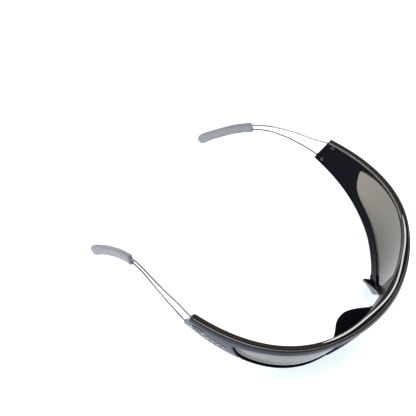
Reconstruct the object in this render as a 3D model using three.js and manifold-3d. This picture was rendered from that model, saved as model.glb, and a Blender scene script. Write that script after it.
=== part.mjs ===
// Wraparound shield sunglasses with sprung wire arms.
// Millimetres. +X is the wearer's left, +Y runs to the back of the head, +Z is up.
// The glasses stand on their lower rims and on the two arm tips, at Z = 0.
//
// The front is drawn in rail coordinates, as if it were a flat strip:
//   s  distance along the inner top edge, 0 at the bridge, positive to the left,
//   z  height above the table,
//   w  distance outward from the inner face.
// wrapPoint() bends that strip round the head, leans it in towards the cheeks
// and rakes the temple ends.
import * as THREE from 'three';
import { mergeVertices } from 'three/addons/utils/BufferGeometryUtils.js';
import Module from 'manifold-3d';

const wasm = await Module();
wasm.setup();

// ---------------------------------------------------------------- driving dimensions

const CLEARANCE = 0.3; // between pieces that touch
const ROUND = 10; // sides of a small round piece

// The wrap: plan curve of the inner top edge, one half.
const TOP = 39; // height of the brow
const HALF_WIDTH = 70.6; // inner half width at the temple ends
const WRAP_DEPTH = 71.5; // from the bridge back to the temple ends
const FRONT_HANDLE = 45.4; // Bezier handle along the brow
const SIDE_HANDLE = 46.3; // Bezier handle along the temple
const LEAN_SLOPE = 0.093; // the face leans in towards the cheeks from the top edge
const LEAN_CURVE = 0.0024; // and curves further in as it goes down
const END_RAKE = 0.35; // slope of the temple end faces
const RAKE_START = 60; // along the rail

// Layers, measured outward from the inner face.
const LINER_OUT = 0.9;
const LENS_IN = LINER_OUT + CLEARANCE;
const LENS_OUT = LENS_IN + 1.2;
const SHELL_IN = LENS_IN;
const SHELL_OUT = 4.0; // at the top of the temples
const SHELL_TAPER = 1.2; // thinner towards the lower edge
const TAPER_POWER = 1.5;
const BRIDGE_EXTRA = 2.5; // more thickness over the nose
const BRIDGE_SPREAD = 46; // along the rail, where the extra ends
const BEAD_OUT = 2.8;
const FAR_IN = -1.5; // a cutter that starts here or ends there passes every face
const FAR_OUT = 9;
const BITE = 0.6; // how far joined solids reach into each other
const FLANGE_DEPTH = 1.2; // the shell's top flange covers the liner
const BROW_BEVEL = 1.5; // the brow's outer edge falls away
const BROW_BEVEL_DEPTH = 4;
const TEMPLE_BEVEL_SHARE = 0.35; // of the bevel, away from the bridge

// Lower edge of the front.
const BRIDGE_BOTTOM = 25.5; // underside of the bridge
const NOTCH_WIDTH = 11.3; // half width of the nose notch at mid height
const NOTCH_POWER = 2.7;
const NOTCH_FOOT = 1.5;
const REST_FROM = 36; // flat resting stretch of each lower rim
const REST_TO = 41;
const END_BOTTOM = 23.5; // lower corner of the temple end
const RISE_POWER = 1.35;
const LENS_SAG = 0.8; // the lens hangs lower than an even rise

// Lens windows. The inner one is in the liner, the outer one in the shell.
const RIM_HEIGHT = 6.0; // lower rim seen from inside
const LEAST_OPENING = 1.5; // height of the inner window at its rear corner
const BEAD_HEIGHT = 1.8; // lower rim seen from outside
const LENS_OVERLAP = 0.8; // hidden edge of the lens
const WINDOW_REAR = 89.5;
const INNER_TOP = 36.9;
const INNER_NOSE_DROP = 2.4; // lower towards the nose
const NOSE_DROP_FROM = 62; // along the rail
const NOSE_DROP_TO = 24;
const INNER_REAR_DROP = 2.6; // and lower at the rear corner
const OUTER_TOP = 34;
const OUTER_REAR_DROP = 4;
const REAR_DROP_FROM = 72;
const INNER_NOSE = 12; // nose ends, along the rail
const OUTER_NOSE = 17.5;
const SHELL_FOOT = 34; // the shell's leg beside the nose ends here
const SHELL_LEG_HEIGHT = 12;
const SHELL_LEG_POWER = 1.4;
const CORNER_FROM = 66; // the lower rear corner rises from here
const CORNER_RISE = 15;
const CORNER_POWER = 6.5;
const BEAD_CORNER_SHARE = 0.8; // of that rise, on the outside
const CRESCENT_FROM = 78; // the shell's edge behind the lens starts here
const CRESCENT_POWER = 2.3;
const SLIVER = 0.4; // thinnest lip of the lower rim
const BELOW_EDGE = 2; // how far the window's cutter passes the lower edge
const REAR_SETBACK = 1; // between the two windows' rear ends

// Bright strip let into the top of the brow. It swings out round the bridge.
const STRIP_W = 0.95;
const STRIP_BRIDGE_W = 1.8; // added over the nose
const STRIP_BRIDGE_SPREAD = 26; // along the rail, where that ends
const STRIP_WIDTH = 0.8;
const STRIP_DEPTH = 0.5;
const STRIP_PROUD = 0.1;
const STRIP_REACH = 50; // along the rail, each way
const STRIP_TAPER = 8;
const STRIP_TIP = 0.05; // half width at the very ends

// Nose wings.
const WING_FROM = 5.2; // along the rail
const WING_PEAK = 11.3;
const WING_TO = 31;
const WING_REACH = 9.4; // back from the notch edge, at the peak
const WING_ROOT_REACH = 0.8;
const WING_ROOT_DEPTH = 1.5; // starts this far inside the front, then is cut back to it
const WING_THICKNESS = 1.5;
const WING_EDGE = 0.8;
const WING_HEAD_DIRECTION = new THREE.Vector3(0.19, 0.92, 0.25);
const WING_FOOT_DIRECTION = new THREE.Vector3(0.3, 0.65, 0.7);
const WING_TURNS_FROM = 11; // along the rail
const WING_TURNS_TO = 23;
const TANGENT_STEP = 0.2; // for the slope of the notch edge

// Wire arms.
const WIRE_RADIUS = 0.5;
const WIRE_W = 1.5; // inside the temple's thickness
const UPPER_WIRE_Z = 36.4;
const LOWER_WIRE_Z = 25.3;
const SOCKET_RADIUS = 0.7;
const SOCKET_LENGTH = 7;
const SOCKET_PROUD = 0.5;
const BORE_PAST = 2; // the socket's bore runs out past the face
const LEG_GAP = 1.8; // half the distance between the legs behind the ear
const LEGS_MEET = 0.42; // fraction of the arm where the legs run parallel
const LEGS_CLOSE_POWER = 1.25;
// Middle line of the left arm: along the temple, over the ear and down behind it.
const ARM_LINE = [
  [71.1, 74.6, 30.8],
  [69.6, 83.0, 31.7],
  [67.9, 92.0, 32.8],
  [65.8, 100.5, 33.3],
  [63.4, 108.8, 32.9],
  [61.0, 117.0, 30.6],
  [59.0, 125.2, 26.2],
  [57.4, 133.0, 20.3],
  [56.1, 140.4, 13.6],
  [55.2, 147.3, 6.8],
  [54.7, 152.1, 0.5],
];
const LEGS_START = 0.09; // the legs are clear of the temple from here
const BEND_AT = 0.955; // centre of the hairpin bend, fraction of the arm

// Soft sleeve on each tip.
const SLEEVE_FROM = 0.5;
const SLEEVE_WALL = 1.0;
const SLEEVE_ROUND = 0.06; // fraction of the arm that rounds off the tip
const TIP_SHARE = 0.35; // of the section, left at the very tip
const CHANNEL_BEFORE = 0.02; // the wire's channel starts before the sleeve
const CHANNEL_AFTER = 0.03; // and ends past the bend

// The tips are cut flat where they stand on the table.
const FLOOR_BOX = [40, 60, 20];
const FLOOR_PLACE = [55, 150, -10];

// Retaining screws, in from the end face.
const SCREW_SETBACK = 4.4;
const SCREW_HEAD_RADIUS = 1.3;
const SCREW_HEAD_HEIGHT = 0.7;
const SCREW_SHANK_RADIUS = 0.45;
const SCREW_HOLE_LENGTH = 2.4;
const DOME_STEPS = 3;

// Ornaments on each temple, let into the face.
const ORNAMENT_SUNK = 0.4;
const ORNAMENT_PROUD = 0.5;
const BADGE_PLACE = [108, 30.2];
const BADGE_SIZE = [3.9, 2.4];
const BADGE_RING = 0.8;
const STUD_COUNT = 4;
const STUD_PLACE = [101.5, 27.2]; // rearmost stud
const STUD_PITCH = [2.8, 1.25]; // each next one is further forward and lower
const STUD_SIZE = [0.9, 1.5];
const POCKET_PAST = 2; // a pocket's cutter passes the face

// ---------------------------------------------------------------- materials

function finish(color, roughness, metalness, opacity = 1) {
  return new THREE.MeshStandardMaterial({
    color,
    roughness,
    metalness,
    opacity,
    transparent: opacity < 1,
  });
}

const shellFinish = finish(0x3b3534, 0.16, 0.35);
const linerFinish = finish(0x15171d, 0.45, 0);
const lensFinish = finish(0x8d8577, 0.05, 0, 0.55);
const wireFinish = finish(0xb9bcc0, 0.2, 1);
const chromeFinish = finish(0xe2e4e6, 0.08, 1);
const screwFinish = finish(0x6b6e72, 0.3, 1);
const inlayFinish = finish(0x0b0b0d, 0.2, 0);
const sleeveFinish = finish(0x8f9296, 0.4, 0, 0.8);

// ---------------------------------------------------------------- solids

function toSolid(geometry) {
  const bare = geometry.clone();
  bare.deleteAttribute('normal');
  bare.deleteAttribute('uv');
  const merged = mergeVertices(bare, 1e-4);
  return new wasm.Manifold(new wasm.Mesh({
    numProp: 3,
    vertProperties: new Float32Array(merged.attributes.position.array),
    triVerts: new Uint32Array(merged.index.array),
  }));
}

function toGeometry(solid) {
  const mesh = solid.getMesh();
  const geometry = new THREE.BufferGeometry();
  geometry.setAttribute('position', new THREE.BufferAttribute(mesh.vertProperties, 3));
  geometry.setIndex(new THREE.BufferAttribute(mesh.triVerts, 1));
  geometry.computeVertexNormals();
  return geometry;
}

function mapVertices(geometry, place) {
  const position = geometry.attributes.position;
  for (let i = 0; i < position.count; i += 1) {
    const p = place(position.getX(i), position.getY(i), position.getZ(i));
    position.setXYZ(i, p.x, p.y, p.z);
  }
  return geometry;
}

// The mirror image in X, with its faces still pointing out.
function mirrored(geometry) {
  const source = geometry.index ? geometry.toNonIndexed() : geometry.clone();
  const from = source.attributes.position;
  const flipped = new Float32Array(from.count * 3);
  for (let i = 0; i < from.count; i += 1) {
    const corner = i % 3;
    const j = corner === 0 ? i : i + 3 - 2 * corner;
    flipped.set([-from.getX(j), from.getY(j), from.getZ(j)], 3 * i);
  }
  const result = new THREE.BufferGeometry();
  result.setAttribute('position', new THREE.BufferAttribute(flipped, 3));
  const merged = mergeVertices(result, 1e-4);
  merged.computeVertexNormals();
  return merged;
}

// ---------------------------------------------------------------- the wrap

const halfRail = new THREE.CubicBezierCurve(
  new THREE.Vector2(0, 0),
  new THREE.Vector2(FRONT_HANDLE, 0),
  new THREE.Vector2(HALF_WIDTH, WRAP_DEPTH - SIDE_HANDLE),
  new THREE.Vector2(HALF_WIDTH, WRAP_DEPTH),
);
halfRail.arcLengthDivisions = 400;
const RAIL_END = halfRail.getLength();

const clamp01 = (t) => Math.min(1, Math.max(0, t));

function smooth(t) {
  const c = clamp01(t);
  return c * c * (3 - 2 * c);
}

function wrapPoint(s, w, z) {
  const side = s < 0 ? -1 : 1;
  const distance = Math.abs(s);
  const depth = Math.max(0, TOP - z);
  const rake = END_RAKE * clamp01((distance - RAKE_START) / (RAIL_END - RAKE_START));
  const along = distance + rake * (TOP - z);
  const u = Math.min(1, Math.max(0, along / RAIL_END));
  const point = halfRail.getPointAt(u);
  const tangent = halfRail.getTangentAt(u);
  const past = Math.max(0, along - RAIL_END);
  const out = w - depth * (LEAN_SLOPE + LEAN_CURVE * depth);
  const x = point.x + tangent.x * past + tangent.y * out;
  const y = point.y + tangent.y * past - tangent.x * out;
  return new THREE.Vector3(side * x, y, z);
}

// Flat resting stretch, then a rise to the temple.
function footLine(s) {
  const run = Math.max(0, Math.abs(s) - REST_TO) / (RAIL_END - REST_TO);
  return Math.max(0, END_BOTTOM * run ** RISE_POWER - LENS_SAG * Math.sin(2 * Math.PI * run));
}

// Lower edge of the front: the foot line with the nose notch.
function lowerEdge(s) {
  const distance = Math.abs(s);
  if (distance >= REST_FROM) return footLine(s);
  const notch = (BRIDGE_BOTTOM + NOTCH_FOOT)
    / (1 + (distance / NOTCH_WIDTH) ** NOTCH_POWER) - NOTCH_FOOT;
  return Math.max(0, notch);
}

// 0 before one rail distance, 1 past another.
const share = (s, from, to) => clamp01((Math.abs(s) - from) / (to - from));
const rearDrop = (s) => share(s, REAR_DROP_FROM, WINDOW_REAR) ** 2;

const cornerRise = (s) => CORNER_RISE * share(s, CORNER_FROM, WINDOW_REAR) ** CORNER_POWER;

function innerHigh(s) {
  const towardsNose = smooth(share(s, NOSE_DROP_FROM, NOSE_DROP_TO));
  return INNER_TOP - INNER_NOSE_DROP * towardsNose - INNER_REAR_DROP * rearDrop(s);
}

const innerLow = (s) => Math.min(
  lowerEdge(s) + RIM_HEIGHT + cornerRise(s),
  innerHigh(s) - LEAST_OPENING,
);
const outerHigh = (s) => OUTER_TOP - OUTER_REAR_DROP * rearDrop(s);

// Top of the lower rim as it shows from outside.
const beadTop = (s) => lowerEdge(s) + BEAD_HEIGHT + BEAD_CORNER_SHARE * cornerRise(s);

// Top of the shell's leg beside the nose.
const legTop = (s) => beadTop(s)
  + SHELL_LEG_HEIGHT * share(s, SHELL_FOOT, OUTER_NOSE) ** SHELL_LEG_POWER;

const lensLow = (s) => beadTop(s) + CLEARANCE;
const lensHigh = (s) => innerHigh(s) + LENS_OVERLAP;

// Lower edge of the shell's window past the leg: open to the bottom, then up behind the
// lens, where a crescent of the lower rim shows.
function crescentLow(s) {
  const crescent = share(s, CRESCENT_FROM, WINDOW_REAR + REAR_SETBACK) ** CRESCENT_POWER;
  return lowerEdge(s) - BELOW_EDGE + (outerHigh(s) - lowerEdge(s)) * crescent;
}

const bridgeShare = (s) => 1 - smooth(Math.abs(s) / BRIDGE_SPREAD);

// Outer face of the shell: thick over the nose, tapered downwards, bevelled at the brow.
function shellFace(s, z) {
  const bevel = clamp01((z - TOP + BROW_BEVEL_DEPTH) / BROW_BEVEL_DEPTH) ** 2;
  const fall = BROW_BEVEL * (TEMPLE_BEVEL_SHARE + (1 - TEMPLE_BEVEL_SHARE) * bridgeShare(s));
  const down = clamp01((TOP - z) / (TOP - footLine(s)));
  return SHELL_OUT + BRIDGE_EXTRA * bridgeShare(s) - fall * bevel - SHELL_TAPER * down ** TAPER_POWER;
}

// A strip in rail coordinates, bent round the wrap. Edges may be numbers or functions.
const value = (edge, ...at) => (typeof edge === 'function' ? edge(...at) : edge);

function strip({ from, to, low, high, inner, outer, steps, rows = 1, space = (t) => t, lift = (t) => t }) {
  const geometry = new THREE.BoxGeometry(1, 1, 1, steps, rows, 1);
  return mapVertices(geometry, (a, b, c) => {
    const s = from + (to - from) * space(a + 0.5);
    const bottom = value(low, s);
    const z = bottom + (value(high, s) - bottom) * lift(b + 0.5);
    const near = value(inner, s, z);
    return wrapPoint(s, near + (value(outer, s, z) - near) * (c + 0.5), z);
  });
}

// The same strip on one side only: from and to are distances from the bridge.
function sideStrip(side, options) {
  const { from, to, space = (t) => t } = options;
  return strip({
    ...options,
    from: side > 0 ? from : -to,
    to: side > 0 ? to : -from,
    space: side > 0 ? space : (t) => 1 - space(1 - t),
  });
}

// Spacings with more steps at the rear, at the top or round the nose.
const denseRear = (t) => 1 - (1 - t) ** 1.6;
const denseTop = (t) => 1 - (1 - t) ** 1.5;
const denseNose = (t) => 0.5 + 0.5 * Math.sign(t - 0.5) * Math.abs(2 * t - 1) ** 1.3;
const SIDES = [['left', 1], ['right', -1]];
const UP_Y = new THREE.Vector3(0, 1, 0);

// ---------------------------------------------------------------- temple ends

// Where each wire leaves the end face of the left temple.
function wireExit(z) {
  return wrapPoint(RAIL_END, WIRE_W, z);
}

// A cylinder along +Y that ends at the end face.
function alongTemple(radius, length, proud, z) {
  const geometry = new THREE.CylinderGeometry(radius, radius, length, ROUND);
  const exit = wireExit(z);
  geometry.translate(0, proud - length / 2, 0);
  return geometry.translate(exit.x, exit.y, exit.z);
}

const socket = (z) => alongTemple(SOCKET_RADIUS, SOCKET_LENGTH, SOCKET_PROUD, z);

const socketBore = (z) => alongTemple(
  SOCKET_RADIUS + CLEARANCE,
  SOCKET_LENGTH + BORE_PAST,
  BORE_PAST - CLEARANCE,
  z,
);

// Dome head on the inner face, shank up to the socket. Made along +Y.
function screw(z) {
  const shankTip = WIRE_W - SOCKET_RADIUS - CLEARANCE;
  const profile = [];
  for (let i = 0; i <= DOME_STEPS; i += 1) {
    const angle = (Math.PI / 2) * (1 - i / DOME_STEPS);
    profile.push(new THREE.Vector2(
      i === 0 ? 0 : SCREW_HEAD_RADIUS * Math.cos(angle),
      -CLEARANCE - SCREW_HEAD_HEIGHT * Math.sin(angle),
    ));
  }
  profile.push(new THREE.Vector2(SCREW_SHANK_RADIUS, -CLEARANCE));
  profile.push(new THREE.Vector2(SCREW_SHANK_RADIUS, shankTip));
  profile.push(new THREE.Vector2(0, shankTip));
  return placeScrew(new THREE.LatheGeometry(profile, ROUND), z);
}

// Turns a piece made along +Y to point straight out through the liner.
function placeScrew(geometry, z) {
  const exit = wireExit(z);
  const face = new THREE.Vector3(exit.x - WIRE_W, exit.y - SCREW_SETBACK, z);
  const slope = LEAN_SLOPE + 2 * LEAN_CURVE * (TOP - z);
  const normal = new THREE.Vector3(1, 0, -slope).normalize();
  geometry.applyQuaternion(new THREE.Quaternion().setFromUnitVectors(UP_Y, normal));
  return geometry.translate(face.x, face.y, face.z);
}

function screwHole(z) {
  const radius = SCREW_SHANK_RADIUS + CLEARANCE;
  return placeScrew(new THREE.CylinderGeometry(radius, radius, SCREW_HOLE_LENGTH, ROUND), z);
}

// ---------------------------------------------------------------- front pieces

const wholeFront = {
  from: -RAIL_END,
  to: RAIL_END,
  low: lowerEdge,
  steps: 44,
  space: denseNose,
};
const windowSteps = { steps: 14, space: denseRear };

function bothSides(make) {
  return SIDES.map(([, side]) => make(side)).reduce((sum, solid) => sum.add(solid));
}

function flipIf(side, geometry) {
  return side > 0 ? geometry : mirrored(geometry);
}

// Holes for sockets and screws in both temple ends.
const templeEndHoles = bothSides((side) => [UPPER_WIRE_Z, LOWER_WIRE_Z]
  .flatMap((z) => [socketBore(z), screwHole(z)])
  .map((geometry) => toSolid(flipIf(side, geometry)))
  .reduce((sum, solid) => sum.add(solid)));

function ornamentShape(kind, margin = 0) {
  const shape = new THREE.Shape();
  if (kind === 'stud') {
    const [half, tall] = STUD_SIZE;
    shape.moveTo(half + margin, 0);
    shape.lineTo(0, tall + margin);
    shape.lineTo(-half - margin, 0);
    shape.lineTo(0, -tall - margin);
    shape.closePath();
    return shape;
  }
  const inset = kind === 'inlay' ? BADGE_RING + CLEARANCE : 0;
  shape.absellipse(
    0, 0,
    BADGE_SIZE[0] - inset + margin, BADGE_SIZE[1] - inset + margin,
    0, Math.PI * 2,
  );
  if (kind === 'ring') {
    const hole = new THREE.Path();
    hole.absellipse(0, 0, BADGE_SIZE[0] - BADGE_RING, BADGE_SIZE[1] - BADGE_RING, 0, Math.PI * 2);
    shape.holes.push(hole);
  }
  return shape;
}

// A flat outline laid on the temple at rail distance s and height z.
function ornament(side, kind, [s, z], sunk, proud, margin = 0) {
  const geometry = new THREE.ExtrudeGeometry(ornamentShape(kind, margin), {
    depth: sunk + proud,
    bevelEnabled: false,
    curveSegments: 10,
  });
  return mapVertices(geometry, (a, b, c) => {
    const height = z + b;
    return wrapPoint(side * s + a, shellFace(s, height) - sunk + c, height);
  });
}

const studPlaces = Array.from({ length: STUD_COUNT }, (_, i) => [
  STUD_PLACE[0] - i * STUD_PITCH[0],
  STUD_PLACE[1] - i * STUD_PITCH[1],
]);

function ornamentPockets(side) {
  const pocket = (kind, place) => toSolid(
    ornament(side, kind, place, ORNAMENT_SUNK + CLEARANCE, POCKET_PAST, CLEARANCE),
  );
  return studPlaces
    .map((place) => pocket('stud', place))
    .reduce((sum, solid) => sum.add(solid), pocket('badge', BADGE_PLACE));
}

// Window straight through the outer shell, open at the bottom behind the leg.
function shellWindow(side) {
  const cut = (from, to, low, steps) => toSolid(sideStrip(side, {
    from,
    to,
    low,
    high: outerHigh,
    inner: SHELL_IN - BITE,
    outer: FAR_OUT,
    rows: 2,
    steps,
    space: denseRear,
  }));
  return cut(OUTER_NOSE, SHELL_FOOT + BITE, legTop, 6)
    .add(cut(SHELL_FOOT, WINDOW_REAR + REAR_SETBACK, crescentLow, 14));
}

// The lens outline, grown by a margin, between two layers.
function lensBlank(side, margin, inner, outer) {
  return toSolid(sideStrip(side, {
    from: INNER_NOSE - LENS_OVERLAP - margin,
    to: WINDOW_REAR + LENS_OVERLAP + margin,
    low: (s) => lensLow(s) - margin,
    high: (s) => lensHigh(s) + margin,
    inner,
    outer,
    rows: 3,
    ...windowSteps,
  }));
}

// Rebate behind the shell that takes the lens edge.
const lensRebate = (side) => lensBlank(side, CLEARANCE, SHELL_IN - BITE, LENS_OUT + CLEARANCE);

const lens = (side) => lensBlank(side, 0, LENS_IN, LENS_OUT);

const stripCentre = (s) => STRIP_W
  + STRIP_BRIDGE_W * smooth(1 - Math.abs(s) / STRIP_BRIDGE_SPREAD);

function stripHalfWidth(s, extra) {
  const left = clamp01((STRIP_REACH + extra - Math.abs(s)) / STRIP_TAPER);
  return (STRIP_WIDTH / 2) * Math.sqrt(left) + extra + STRIP_TIP;
}

function browStrip(extra, bottom, top) {
  return strip({
    from: -STRIP_REACH - extra,
    to: STRIP_REACH + extra,
    low: bottom,
    high: top,
    inner: (s) => stripCentre(s) - stripHalfWidth(s, extra),
    outer: (s) => stripCentre(s) + stripHalfWidth(s, extra),
    steps: 36,
  });
}

function outerShell() {
  const wall = toSolid(strip({
    ...wholeFront,
    high: TOP,
    inner: SHELL_IN,
    outer: shellFace,
    rows: 4,
    lift: denseTop,
  }));
  const flange = toSolid(strip({
    ...wholeFront,
    low: TOP - FLANGE_DEPTH,
    high: TOP,
    inner: 0,
    outer: SHELL_IN + BITE,
  }));
  const groove = toSolid(browStrip(CLEARANCE, TOP - STRIP_DEPTH - CLEARANCE, TOP + BITE));
  return wall.add(flange)
    .subtract(bothSides(shellWindow))
    .subtract(bothSides(lensRebate))
    .subtract(bothSides(ornamentPockets))
    .subtract(templeEndHoles)
    .subtract(groove);
}

// Lower rim that carries the lens, seen from outside below it.
function lowerBead(side) {
  return toSolid(sideStrip(side, {
    from: SHELL_FOOT + CLEARANCE,
    to: WINDOW_REAR - REAR_SETBACK,
    low: (s) => Math.max(lowerEdge(s), Math.min(crescentLow(s) + CLEARANCE, beadTop(s) - SLIVER)),
    high: beadTop,
    inner: LINER_OUT - BITE,
    outer: BEAD_OUT,
    ...windowSteps,
  }));
}

function linerWindow(side) {
  return toSolid(sideStrip(side, {
    from: INNER_NOSE,
    to: WINDOW_REAR,
    low: innerLow,
    high: innerHigh,
    inner: FAR_IN,
    outer: BEAD_OUT + BITE,
    rows: 2,
    ...windowSteps,
  }));
}

function innerLiner() {
  const wall = toSolid(strip({
    ...wholeFront,
    high: TOP - FLANGE_DEPTH - CLEARANCE,
    inner: 0,
    outer: LINER_OUT,
    rows: 3,
  }));
  return wall.add(bothSides(lowerBead))
    .subtract(bothSides(linerWindow))
    .subtract(templeEndHoles);
}

// ---------------------------------------------------------------- nose wings

function wingReach(s) {
  const toPeak = (s - WING_FROM) / (WING_PEAK - WING_FROM);
  const pastPeak = (s - WING_PEAK) / (WING_TO - WING_PEAK);
  const bump = s < WING_PEAK
    ? Math.sin((Math.PI / 2) * clamp01(toPeak))
    : Math.cos((Math.PI / 2) * clamp01(pastPeak)) ** 2;
  return WING_ROOT_REACH + (WING_REACH - WING_ROOT_REACH) * bump;
}

const notchEdge = (s) => wrapPoint(s, 0, lowerEdge(s));

// The leaf points back beside the nose, and turns upward towards its foot.
function wingDirection(s) {
  const turn = smooth((s - WING_TURNS_FROM) / (WING_TURNS_TO - WING_TURNS_FROM));
  return WING_HEAD_DIRECTION.clone().lerp(WING_FOOT_DIRECTION, turn).normalize();
}

// A leaf that grows from the notch edge, back and outward beside the nose.
function leftWing() {
  const geometry = new THREE.BoxGeometry(1, 1, 1, 14, 4, 1);
  mapVertices(geometry, (a, b, c) => {
    const s = WING_FROM + (WING_TO - WING_FROM) * (a + 0.5);
    const run = notchEdge(s + TANGENT_STEP).sub(notchEdge(s - TANGENT_STEP)).normalize();
    const direction = wingDirection(s);
    const away = new THREE.Vector3().crossVectors(run, direction).normalize();
    const back = b + 0.5;
    const thick = WING_THICKNESS + (WING_EDGE - WING_THICKNESS) * back;
    return notchEdge(s)
      .addScaledVector(direction, -WING_ROOT_DEPTH + (wingReach(s) + WING_ROOT_DEPTH) * back)
      .addScaledVector(away, thick * (c + 0.5));
  });
  const front = toSolid(strip({
    ...wholeFront,
    low: (s) => lowerEdge(s) - FAR_OUT,
    high: TOP + FAR_OUT,
    inner: -CLEARANCE,
    outer: FAR_OUT,
    rows: 8,
  }));
  return toSolid(geometry).subtract(front);
}

// ---------------------------------------------------------------- arms

const armLine = new THREE.CatmullRomCurve3(
  ARM_LINE.map(([x, y, z]) => new THREE.Vector3(x, y, z)),
  false,
  'centripetal',
);

// Point, tangent and the upward direction square to it, at a fraction of the arm.
function armFrame(u) {
  const tangent = armLine.getTangentAt(clamp01(u));
  const across = new THREE.Vector3().crossVectors(tangent, new THREE.Vector3(0, 0, 1)).normalize();
  const up = new THREE.Vector3().crossVectors(across, tangent).normalize();
  return { point: armLine.getPointAt(clamp01(u)), tangent, across, up };
}

function legPoint(u, above) {
  const { point, up } = armFrame(u);
  const open = (UPPER_WIRE_Z - LOWER_WIRE_Z) / 2;
  const gap = LEG_GAP + (open - LEG_GAP) * clamp01(1 - u / LEGS_MEET) ** LEGS_CLOSE_POWER;
  return point.addScaledVector(up, above * gap);
}

// One wire: out along the top leg, round the hairpin and back along the lower leg.
function hairpin() {
  const points = [];
  const legSteps = 12;
  const lead = SOCKET_PROUD + CLEARANCE;
  points.push(wireExit(UPPER_WIRE_Z).add(new THREE.Vector3(0, lead, 0)));
  for (let i = 0; i <= legSteps; i += 1) {
    points.push(legPoint(LEGS_START + (BEND_AT - LEGS_START) * (i / legSteps), 1));
  }
  const { point, tangent, up } = armFrame(BEND_AT);
  for (const angle of [45, 90, 135]) {
    const turn = THREE.MathUtils.degToRad(angle);
    points.push(point.clone()
      .addScaledVector(up, LEG_GAP * Math.cos(turn))
      .addScaledVector(tangent, LEG_GAP * Math.sin(turn)));
  }
  for (let i = legSteps; i >= 0; i -= 1) {
    points.push(legPoint(LEGS_START + (BEND_AT - LEGS_START) * (i / legSteps), -1));
  }
  points.push(wireExit(LOWER_WIRE_Z).add(new THREE.Vector3(0, lead, 0)));
  const path = new THREE.CatmullRomCurve3(points, false, 'centripetal');
  const section = new THREE.Shape();
  section.absarc(0, 0, WIRE_RADIUS, 0, Math.PI * 2);
  return new THREE.ExtrudeGeometry(section, {
    steps: 66,
    curveSegments: 3,
    bevelEnabled: false,
    extrudePath: path,
  });
}

// A capsule section swept along the arm between two fractions, upright all the way.
function armSweep(from, to, halfHeight, halfWidth, steps, segments, round) {
  const section = new THREE.Shape();
  const flat = halfHeight - halfWidth;
  section.absarc(0, flat, halfWidth, 0, Math.PI);
  section.absarc(0, -flat, halfWidth, Math.PI, Math.PI * 2);
  const geometry = new THREE.ExtrudeGeometry(section, {
    depth: 1,
    steps,
    curveSegments: segments,
    bevelEnabled: false,
  });
  return mapVertices(geometry, (a, b, c) => {
    const u = from + (to - from) * (1 - (1 - c) ** 1.3);
    const { point, across, up } = armFrame(u);
    const end = round > 0 ? clamp01((to - u) / round) : 1;
    const scale = TIP_SHARE + (1 - TIP_SHARE) * Math.sqrt(1 - (1 - end) ** 2);
    return point.addScaledVector(across, -a * scale).addScaledVector(up, b * scale);
  });
}

function tipSleeve() {
  const room = WIRE_RADIUS + CLEARANCE;
  const body = toSolid(armSweep(
    SLEEVE_FROM, 1, LEG_GAP + room + SLEEVE_WALL, room + SLEEVE_WALL, 11, 4, SLEEVE_ROUND,
  ));
  const channel = toSolid(armSweep(
    SLEEVE_FROM - CHANNEL_BEFORE, BEND_AT + CHANNEL_AFTER, LEG_GAP + room, room, 10, 2, 0,
  ));
  const floor = new THREE.BoxGeometry(...FLOOR_BOX).translate(...FLOOR_PLACE);
  return body.subtract(channel).subtract(toSolid(floor));
}

// ---------------------------------------------------------------- assembly

const glasses = new THREE.Group();

function put(name, geometry, material) {
  const mesh = new THREE.Mesh(geometry, material);
  mesh.name = name;
  glasses.add(mesh);
}

put('outer_shell', toGeometry(outerShell()), shellFinish);
put('inner_liner', toGeometry(innerLiner()), linerFinish);
put('brow_strip', browStrip(0, TOP - STRIP_DEPTH, TOP + STRIP_PROUD), chromeFinish);

const wing = toGeometry(leftWing());
const wire = hairpin();
const sleeve = toGeometry(tipSleeve());

for (const [name, side] of SIDES) {
  put(`${name}_lens`, toGeometry(lens(side)), lensFinish);
  put(`${name}_nose_wing`, flipIf(side, wing), linerFinish);
  put(`${name}_arm_wire`, flipIf(side, wire), wireFinish);
  put(`${name}_tip_sleeve`, flipIf(side, sleeve), sleeveFinish);
  for (const [level, z] of [['upper', UPPER_WIRE_Z], ['lower', LOWER_WIRE_Z]]) {
    put(`${name}_${level}_wire_socket`, flipIf(side, socket(z)), wireFinish);
    put(`${name}_${level}_screw`, flipIf(side, screw(z)), screwFinish);
  }
  const ring = ornament(side, 'ring', BADGE_PLACE, ORNAMENT_SUNK, ORNAMENT_PROUD);
  put(`${name}_badge_ring`, ring, chromeFinish);
  const inlay = ornament(side, 'inlay', BADGE_PLACE, ORNAMENT_SUNK, ORNAMENT_PROUD / 2);
  put(`${name}_badge_inlay`, inlay, inlayFinish);
  studPlaces.forEach((place, i) => {
    const stud = ornament(side, 'stud', place, ORNAMENT_SUNK, ORNAMENT_PROUD);
    put(`${name}_stud_${i + 1}`, stud, chromeFinish);
  });
}

// The origin is under the middle of the whole, on the table.
const box = new THREE.Box3().setFromObject(glasses);
glasses.position.y = -(box.min.y + box.max.y) / 2;
glasses.updateMatrixWorld(true);

export default glasses;
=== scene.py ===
"""The looks of the wraparound shield sunglasses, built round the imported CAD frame.

Shape code works in millimetres; make_piece() turns them into metres in the frame.
The front is drawn in the same rail coordinates as the CAD model:
    s  distance along the inner top edge, 0 at the bridge, positive to the wearer's left,
    z  height above the table,
    w  distance outward from the inner face.
"""
import math

import bpy
import numpy as np
from mathutils import Matrix, Vector
from mathutils.geometry import delaunay_2d_cdt


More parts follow.
